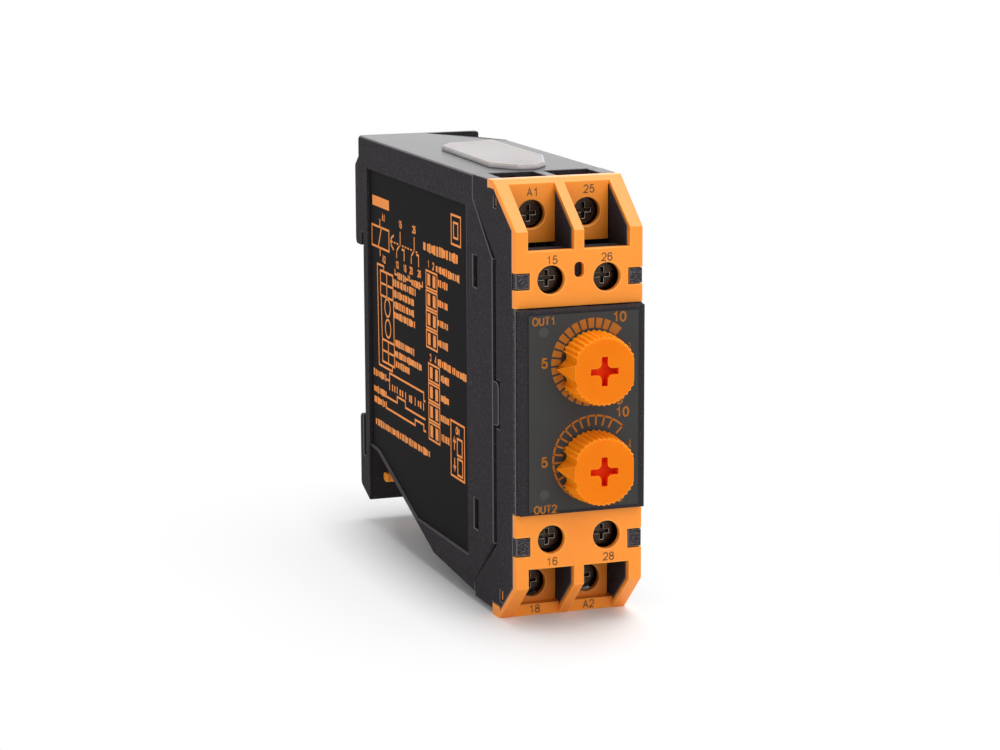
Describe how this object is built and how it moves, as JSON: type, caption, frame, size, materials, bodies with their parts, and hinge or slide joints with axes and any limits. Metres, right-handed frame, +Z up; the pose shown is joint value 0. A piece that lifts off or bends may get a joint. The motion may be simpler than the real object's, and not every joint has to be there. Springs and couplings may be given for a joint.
{
  "type": "rail-mounted timer relay",
  "caption": "Slim black rail-mounted timer relay with orange terminal covers, setting knobs with pointers, recessed screw terminals and a sprung rail slider.",
  "frame": {"origin": "on the rail seat at the rear, at mid width, on the rail's centre line", "axes": "+X to the right as seen from the front, +Y to the rear into the rail, +Z up"},
  "size_m": [0.0226, 0.0911, 0.0721],
  "materials": {
    "housing_black": "matte",
    "terminal_orange": "satin",
    "knob_orange": "satin",
    "label_grey": "matte",
    "milky_plastic": "translucent",
    "screw_steel": "zinc plated",
    "clamp_steel": "plated",
    "tinned_copper": "tinned",
    "board_green": "solder mask",
    "relay_black": "gloss",
    "component_dark": "matte",
    "ferrite": "sintered",
    "can_sleeve": "shrink sleeve",
    "varistor_blue": "epoxy",
    "pot_blue": "matte",
    "lamp_clear": "diffused",
    "switch_red": "matte",
    "lever_white": "matte",
    "spring_steel": "bright"
  },
  "bodies": {
    "housing": {"rear_housing": "housing_black", "front_hood": "housing_black", "upper_terminal_cover": "terminal_orange", "lower_terminal_cover": "terminal_orange", "front_label": "label_grey", "contact_bars": "tinned_copper", "pot_body_1": "pot_blue", "pot_body_2": "pot_blue", "indicator_1": "lamp_clear", "indicator_2": "lamp_clear", "main_board": "board_green", "front_board": "board_green", "relay_1": "relay_black", "relay_2": "relay_black", "transformer": "ferrite", "capacitor_1": "can_sleeve", "capacitor_2": "can_sleeve", "varistor": "varistor_blue", "controller_chip": "component_dark", "switch_bank": "switch_red", "slider_spring": "spring_steel"},
    "knob_1": {"knob_1": "knob_orange", "pot_rotor_1": "lever_white"},
    "knob_2": {"knob_2": "knob_orange", "pot_rotor_2": "lever_white"},
    "top_cover": {"top_cover": "milky_plastic"},
    "rail_slider": {"rail_slider": "terminal_orange"},
    "switch_lever_1": {"switch_lever_1": "lever_white"},
    "switch_lever_2": {"switch_lever_2": "lever_white"},
    "switch_lever_3": {"switch_lever_3": "lever_white"},
    "switch_lever_4": {"switch_lever_4": "lever_white"},
    "terminal_screw_1": {"terminal_screw_1": "screw_steel"},
    "terminal_clamp_1": {"terminal_clamp_1": "clamp_steel"},
    "terminal_screw_2": {"terminal_screw_2": "screw_steel"},
    "terminal_clamp_2": {"terminal_clamp_2": "clamp_steel"},
    "terminal_screw_3": {"terminal_screw_3": "screw_steel"},
    "terminal_clamp_3": {"terminal_clamp_3": "clamp_steel"},
    "terminal_screw_4": {"terminal_screw_4": "screw_steel"},
    "terminal_clamp_4": {"terminal_clamp_4": "clamp_steel"},
    "terminal_screw_5": {"terminal_screw_5": "screw_steel"},
    "terminal_clamp_5": {"terminal_clamp_5": "clamp_steel"},
    "terminal_screw_6": {"terminal_screw_6": "screw_steel"},
    "terminal_clamp_6": {"terminal_clamp_6": "clamp_steel"},
    "terminal_screw_7": {"terminal_screw_7": "screw_steel"},
    "terminal_clamp_7": {"terminal_clamp_7": "clamp_steel"},
    "terminal_screw_8": {"terminal_screw_8": "screw_steel"},
    "terminal_clamp_8": {"terminal_clamp_8": "clamp_steel"}
  },
  "joints": [
    {"name": "knob_1_turn", "type": "hinge", "parent": "housing", "child": "knob_1", "pos_m": [0.00155, -0.0835, 0.00635], "axis": [0, 1, 0], "range_deg": [-135, 135]},
    {"name": "knob_2_turn", "type": "hinge", "parent": "housing", "child": "knob_2", "pos_m": [0.00155, -0.0835, -0.00975], "axis": [0, 1, 0], "range_deg": [-135, 135]},
    {"name": "top_cover_lift", "type": "slide", "parent": "housing", "child": "top_cover", "axis": [0, 0, 1], "range_m": [0, 0.012]},
    {"name": "rail_slider_pull", "type": "slide", "parent": "housing", "child": "rail_slider", "axis": [0, 0, 1], "range_m": [-0.0025, 0], "stiffness_N_per_m": 1500, "springref_m": 0.002, "deforming": ["slider_spring"]},
    {"name": "switch_lever_1_slide", "type": "slide", "parent": "housing", "child": "switch_lever_1", "axis": [1, 0, 0], "range_m": [0, 0.0018]},
    {"name": "switch_lever_2_slide", "type": "slide", "parent": "housing", "child": "switch_lever_2", "axis": [1, 0, 0], "range_m": [0, 0.0018]},
    {"name": "switch_lever_3_slide", "type": "slide", "parent": "housing", "child": "switch_lever_3", "axis": [1, 0, 0], "range_m": [0, 0.0018]},
    {"name": "switch_lever_4_slide", "type": "slide", "parent": "housing", "child": "switch_lever_4", "axis": [1, 0, 0], "range_m": [0, 0.0018]},
    {"name": "terminal_screw_1_turn", "type": "hinge", "parent": "housing", "child": "terminal_screw_1", "pos_m": [-0.00473, -0.0687, 0.0295], "axis": [0, 1, 0], "range_deg": [0, 905]},
    {"name": "terminal_clamp_1_lift", "type": "slide", "parent": "housing", "child": "terminal_clamp_1", "axis": [0, -1, 0], "range_m": [0, 0.00125]},
    {"name": "terminal_screw_2_turn", "type": "hinge", "parent": "housing", "child": "terminal_screw_2", "pos_m": [0.00473, -0.0687, 0.0295], "axis": [0, 1, 0], "range_deg": [0, 905]},
    {"name": "terminal_clamp_2_lift", "type": "slide", "parent": "housing", "child": "terminal_clamp_2", "axis": [0, -1, 0], "range_m": [0, 0.00125]},
    {"name": "terminal_screw_3_turn", "type": "hinge", "parent": "housing", "child": "terminal_screw_3", "pos_m": [-0.00473, -0.0771, 0.0202], "axis": [0, 1, 0], "range_deg": [0, 905]},
    {"name": "terminal_clamp_3_lift", "type": "slide", "parent": "housing", "child": "terminal_clamp_3", "axis": [0, -1, 0], "range_m": [0, 0.00125]},
    {"name": "terminal_screw_4_turn", "type": "hinge", "parent": "housing", "child": "terminal_screw_4", "pos_m": [0.00473, -0.0771, 0.0202], "axis": [0, 1, 0], "range_deg": [0, 905]},
    {"name": "terminal_clamp_4_lift", "type": "slide", "parent": "housing", "child": "terminal_clamp_4", "axis": [0, -1, 0], "range_m": [0, 0.00125]},
    {"name": "terminal_screw_5_turn", "type": "hinge", "parent": "housing", "child": "terminal_screw_5", "pos_m": [-0.00473, -0.0687, -0.0311], "axis": [0, 1, 0], "range_deg": [0, 905]},
    {"name": "terminal_clamp_5_lift", "type": "slide", "parent": "housing", "child": "terminal_clamp_5", "axis": [0, -1, 0], "range_m": [0, 0.00125]},
    {"name": "terminal_screw_6_turn", "type": "hinge", "parent": "housing", "child": "terminal_screw_6", "pos_m": [0.00473, -0.0687, -0.0311], "axis": [0, 1, 0], "range_deg": [0, 905]},
    {"name": "terminal_clamp_6_lift", "type": "slide", "parent": "housing", "child": "terminal_clamp_6", "axis": [0, -1, 0], "range_m": [0, 0.00125]},
    {"name": "terminal_screw_7_turn", "type": "hinge", "parent": "housing", "child": "terminal_screw_7", "pos_m": [-0.00473, -0.0771, -0.0218], "axis": [0, 1, 0], "range_deg": [0, 905]},
    {"name": "terminal_clamp_7_lift", "type": "slide", "parent": "housing", "child": "terminal_clamp_7", "axis": [0, -1, 0], "range_m": [0, 0.00125]},
    {"name": "terminal_screw_8_turn", "type": "hinge", "parent": "housing", "child": "terminal_screw_8", "pos_m": [0.00473, -0.0771, -0.0218], "axis": [0, 1, 0], "range_deg": [0, 905]},
    {"name": "terminal_clamp_8_lift", "type": "slide", "parent": "housing", "child": "terminal_clamp_8", "axis": [0, -1, 0], "range_m": [0, 0.00125]}
  ],
  "couplings": [
    {"joint": "terminal_screw_1_turn", "follows": "terminal_clamp_1_lift", "rad_per_m": 12566},
    {"joint": "terminal_screw_2_turn", "follows": "terminal_clamp_2_lift", "rad_per_m": 12566},
    {"joint": "terminal_screw_3_turn", "follows": "terminal_clamp_3_lift", "rad_per_m": 12566},
    {"joint": "terminal_screw_4_turn", "follows": "terminal_clamp_4_lift", "rad_per_m": 12566},
    {"joint": "terminal_screw_5_turn", "follows": "terminal_clamp_5_lift", "rad_per_m": 12566},
    {"joint": "terminal_screw_6_turn", "follows": "terminal_clamp_6_lift", "rad_per_m": 12566},
    {"joint": "terminal_screw_7_turn", "follows": "terminal_clamp_7_lift", "rad_per_m": 12566},
    {"joint": "terminal_screw_8_turn", "follows": "terminal_clamp_8_lift", "rad_per_m": 12566}
  ]
}
